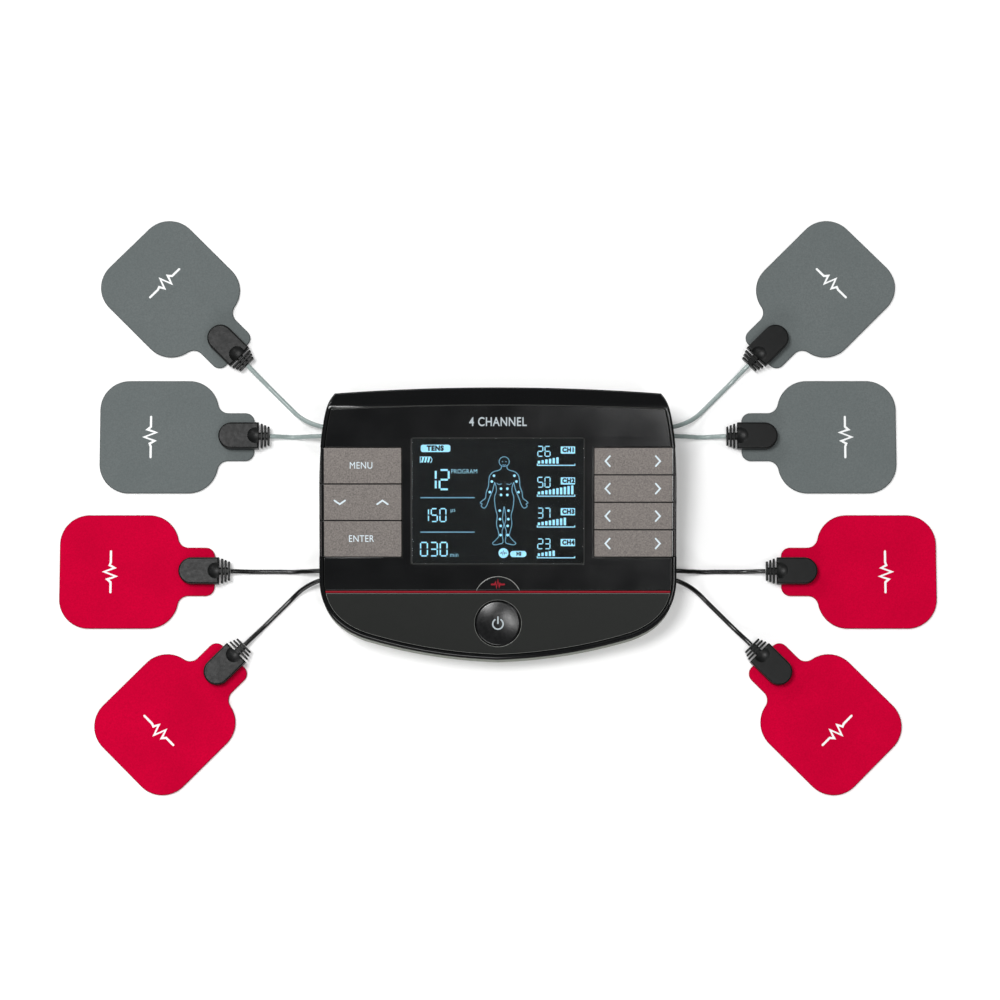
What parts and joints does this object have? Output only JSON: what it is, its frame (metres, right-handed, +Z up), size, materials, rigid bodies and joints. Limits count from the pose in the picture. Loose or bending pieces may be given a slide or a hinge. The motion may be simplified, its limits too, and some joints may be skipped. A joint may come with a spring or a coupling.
{
  "type": "tens unit",
  "caption": "Wedge-shaped electrotherapy control unit with a display and rocker keys, and two-way leads that clip to square electrode pads.",
  "frame": {"origin": "on the table, at the centre of the laid-out set of unit and pads", "axes": "+Z up; +Y towards the unit's high rear edge; +X to the right as the user reads the display"},
  "size_m": [0.3844, 0.2548, 0.0397],
  "materials": {
    "gloss_black": "glossy moulded",
    "satin_black": "satin moulded",
    "matte_black": "fine-grained matt moulded",
    "case_grey": "satin painted moulding",
    "key_grey": "metallic silver-grey paint",
    "red": "glossy moulded",
    "lens": "polished",
    "rubber": "matt",
    "silicone": "matt silicone",
    "board": "solder mask",
    "metal": "nickel plated",
    "battery": "printed sleeve",
    "connector": "satin moulded",
    "pad_grey": "fine woven backing on gel",
    "pad_red": "fine woven backing on gel",
    "lead_grey": "satin sheath",
    "lead_black": "satin sheath"
  },
  "bodies": {
    "unit": {"top_shell": "gloss_black", "fascia_panel": "gloss_black", "bottom_shell": "case_grey", "front_cover": "matte_black", "status_badge": "matte_black", "accent_strip": "red", "display_window": "lens", "lcd_module": "lens", "circuit_board": "board", "dome_mat_left": "silicone", "dome_mat_right": "silicone", "socket_1": "satin_black", "socket_2": "satin_black", "socket_3": "satin_black", "socket_4": "satin_black", "battery_1": "battery", "battery_2": "battery", "battery_3": "battery", "battery_contacts_left": "metal", "battery_contacts_right": "metal", "foot_front": "rubber", "foot_rear_left": "rubber", "foot_rear_right": "rubber"},
    "key_menu": {"key_menu": "key_grey"},
    "key_enter": {"key_enter": "key_grey"},
    "power_button": {"power_button": "gloss_black"},
    "key_up_down": {"key_up_down": "key_grey"},
    "key_channel_1": {"key_channel_1": "key_grey"},
    "key_channel_2": {"key_channel_2": "key_grey"},
    "key_channel_3": {"key_channel_3": "key_grey"},
    "key_channel_4": {"key_channel_4": "key_grey"},
    "battery_cover": {"battery_cover": "case_grey"},
    "lead_set_1": {"plug_1": "connector", "lead_1": "lead_grey", "lead_2": "lead_grey", "pad_1": "pad_grey", "pad_2": "pad_grey"},
    "snap_1": {"snap_connector_1": "connector"},
    "snap_2": {"snap_connector_2": "connector"},
    "lead_set_2": {"plug_2": "connector", "lead_3": "lead_black", "lead_4": "lead_black", "pad_3": "pad_red", "pad_4": "pad_red"},
    "snap_3": {"snap_connector_3": "connector"},
    "snap_4": {"snap_connector_4": "connector"},
    "lead_set_3": {"plug_3": "connector", "lead_5": "lead_grey", "lead_6": "lead_grey", "pad_5": "pad_grey", "pad_6": "pad_grey"},
    "snap_5": {"snap_connector_5": "connector"},
    "snap_6": {"snap_connector_6": "connector"},
    "lead_set_4": {"plug_4": "connector", "lead_7": "lead_black", "lead_8": "lead_black", "pad_7": "pad_red", "pad_8": "pad_red"},
    "snap_7": {"snap_connector_7": "connector"},
    "snap_8": {"snap_connector_8": "connector"}
  },
  "joints": [
    {"name": "key_menu_press", "type": "slide", "parent": "unit", "child": "key_menu", "axis": [0, 0.2079, -0.9781], "range_m": [0, 0.0008], "stiffness_N_per_m": 800},
    {"name": "key_enter_press", "type": "slide", "parent": "unit", "child": "key_enter", "axis": [0, 0.2079, -0.9781], "range_m": [0, 0.0008], "stiffness_N_per_m": 800},
    {"name": "power_button_press", "type": "slide", "parent": "unit", "child": "power_button", "axis": [0, 0.2079, -0.9781], "range_m": [0, 0.0009], "stiffness_N_per_m": 800},
    {"name": "key_up_down_rock", "type": "hinge", "parent": "unit", "child": "key_up_down", "pos_m": [-0.059, -0.00257, 0.02921], "axis": [0, 0.9781, 0.2079], "range_deg": [-2.5, 2.5], "stiffness_Nm_per_rad": 0.5},
    {"name": "key_channel_1_rock", "type": "hinge", "parent": "unit", "child": "key_channel_1", "pos_m": [0.059, 0.01485, 0.03291], "axis": [0, 0.9781, 0.2079], "range_deg": [-2.5, 2.5], "stiffness_Nm_per_rad": 0.5},
    {"name": "key_channel_2_rock", "type": "hinge", "parent": "unit", "child": "key_channel_2", "pos_m": [0.059, 0.00323, 0.03044], "axis": [0, 0.9781, 0.2079], "range_deg": [-2.5, 2.5], "stiffness_Nm_per_rad": 0.5},
    {"name": "key_channel_3_rock", "type": "hinge", "parent": "unit", "child": "key_channel_3", "pos_m": [0.059, -0.00838, 0.02797], "axis": [0, 0.9781, 0.2079], "range_deg": [-2.5, 2.5], "stiffness_Nm_per_rad": 0.5},
    {"name": "key_channel_4_rock", "type": "hinge", "parent": "unit", "child": "key_channel_4", "pos_m": [0.059, -0.02, 0.0255], "axis": [0, 0.9781, 0.2079], "range_deg": [-2.5, 2.5], "stiffness_Nm_per_rad": 0.5},
    {"name": "battery_cover_slide", "type": "slide", "parent": "unit", "child": "battery_cover", "axis": [0, 1, 0], "range_m": [0, 0.055]},
    {"name": "plug_1_pull", "type": "slide", "parent": "unit", "child": "lead_set_1", "axis": [-1, 0, 0], "range_m": [0, 0.014]},
    {"name": "snap_1_lift", "type": "slide", "parent": "lead_set_1", "child": "snap_1", "axis": [0, 0, 1], "range_m": [0, 0.006]},
    {"name": "snap_2_lift", "type": "slide", "parent": "lead_set_1", "child": "snap_2", "axis": [0, 0, 1], "range_m": [0, 0.006]},
    {"name": "plug_2_pull", "type": "slide", "parent": "unit", "child": "lead_set_2", "axis": [-1, 0, 0], "range_m": [0, 0.014]},
    {"name": "snap_3_lift", "type": "slide", "parent": "lead_set_2", "child": "snap_3", "axis": [0, 0, 1], "range_m": [0, 0.006]},
    {"name": "snap_4_lift", "type": "slide", "parent": "lead_set_2", "child": "snap_4", "axis": [0, 0, 1], "range_m": [0, 0.006]},
    {"name": "plug_3_pull", "type": "slide", "parent": "unit", "child": "lead_set_3", "axis": [1, 0, 0], "range_m": [0, 0.014]},
    {"name": "snap_5_lift", "type": "slide", "parent": "lead_set_3", "child": "snap_5", "axis": [0, 0, 1], "range_m": [0, 0.006]},
    {"name": "snap_6_lift", "type": "slide", "parent": "lead_set_3", "child": "snap_6", "axis": [0, 0, 1], "range_m": [0, 0.006]},
    {"name": "plug_4_pull", "type": "slide", "parent": "unit", "child": "lead_set_4", "axis": [1, 0, 0], "range_m": [0, 0.014]},
    {"name": "snap_7_lift", "type": "slide", "parent": "lead_set_4", "child": "snap_7", "axis": [0, 0, 1], "range_m": [0, 0.006]},
    {"name": "snap_8_lift", "type": "slide", "parent": "lead_set_4", "child": "snap_8", "axis": [0, 0, 1], "range_m": [0, 0.006]}
  ]
}
